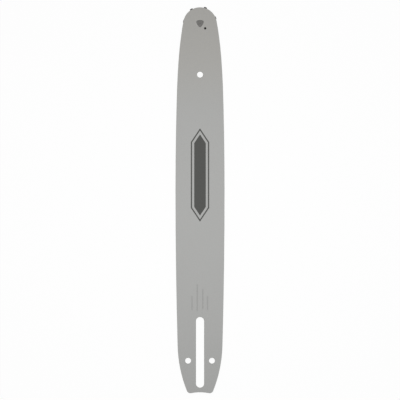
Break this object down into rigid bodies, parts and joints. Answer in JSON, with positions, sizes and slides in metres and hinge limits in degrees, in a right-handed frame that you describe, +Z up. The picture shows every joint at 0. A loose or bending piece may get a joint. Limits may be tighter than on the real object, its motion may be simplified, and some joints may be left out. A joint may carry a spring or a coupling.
{
  "type": "chainsaw guide bar",
  "caption": "Flat laminated chainsaw guide bar with a chain groove round its edge, a long stud slot at the tail and a toothed sprocket turning on rollers in its round nose.",
  "frame": {"origin": "middle of the stud slot, on the back face that the bar lies on", "axes": "+Y along the bar towards the nose, +X across the bar, +Z up out of the front face"},
  "size_m": [0.0508, 0.3999, 0.0038],
  "materials": {
    "side_plate_paint": "satin light grey paint, rubbed to bare steel on the edges of the rails",
    "core_steel": "plain sheet steel",
    "sprocket_steel": "dark hardened steel",
    "bearing_steel": "ground, under grease",
    "rivet_steel": "dull, ground flush"
  },
  "bodies": {
    "bar": {"front_side_plate": "side_plate_paint", "core_plate": "core_steel", "back_side_plate": "side_plate_paint", "bearing_race": "bearing_steel", "nose_rivets": "rivet_steel"},
    "sprocket": {"nose_sprocket": "sprocket_steel"},
    "rollers": {"roller_01": "bearing_steel", "roller_02": "bearing_steel", "roller_03": "bearing_steel", "roller_04": "bearing_steel", "roller_05": "bearing_steel", "roller_06": "bearing_steel", "roller_07": "bearing_steel", "roller_08": "bearing_steel", "roller_09": "bearing_steel", "roller_10": "bearing_steel", "roller_11": "bearing_steel", "roller_12": "bearing_steel", "roller_13": "bearing_steel", "roller_14": "bearing_steel", "roller_15": "bearing_steel", "roller_16": "bearing_steel", "roller_17": "bearing_steel", "roller_18": "bearing_steel", "roller_19": "bearing_steel", "roller_20": "bearing_steel", "roller_21": "bearing_steel", "roller_22": "bearing_steel", "roller_23": "bearing_steel"}
  },
  "joints": [
    {"name": "sprocket_spin", "type": "hinge", "parent": "bar", "child": "sprocket", "pos_m": [0, 0.34075, 0.0019], "axis": [0, 0, 1], "continuous": true},
    {"name": "roller_orbit", "type": "hinge", "parent": "bar", "child": "rollers", "pos_m": [0, 0.34075, 0.0019], "axis": [0, 0, 1], "continuous": true}
  ],
  "couplings": [
    {"joint": "roller_orbit", "follows": "sprocket_spin", "ratio": 0.5664}
  ]
}
